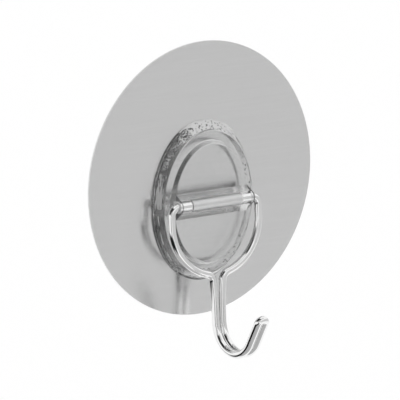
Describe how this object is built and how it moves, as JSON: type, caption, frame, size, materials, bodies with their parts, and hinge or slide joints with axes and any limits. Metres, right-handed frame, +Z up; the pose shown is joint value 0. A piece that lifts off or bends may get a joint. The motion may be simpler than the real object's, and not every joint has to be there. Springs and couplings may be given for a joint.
{
  "type": "adhesive wall hook",
  "caption": "Stick-on wall hook: a round brushed film pad carries a clear oval base with a pivot bar, and a bent chromed wire hook swings in bores at the bar's two ends.",
  "frame": {"origin": "middle of the adhesive's back face, which lies on the wall", "axes": "+Z up the wall, -Y out of the wall into the room, X along the pivot bar"},
  "size_m": [0.07, 0.0274, 0.0782],
  "materials": {
    "wall_adhesive": "clear tacky gel",
    "film_pad": "brushed silver face",
    "bond_layer": "clear glue",
    "clear_base": "clear and polished",
    "wire_hook": "bright chrome"
  },
  "bodies": {
    "base": {"wall_adhesive": "wall_adhesive", "film_pad": "film_pad", "bond_layer": "bond_layer", "clear_base": "clear_base"},
    "hook": {"wire_hook": "wire_hook"}
  },
  "joints": [
    {"name": "hook_swing", "type": "hinge", "parent": "base", "child": "hook", "pos_m": [0, -0.00635, -0.0051], "axis": [-1, 0, 0], "range_deg": [-8, 148]}
  ]
}
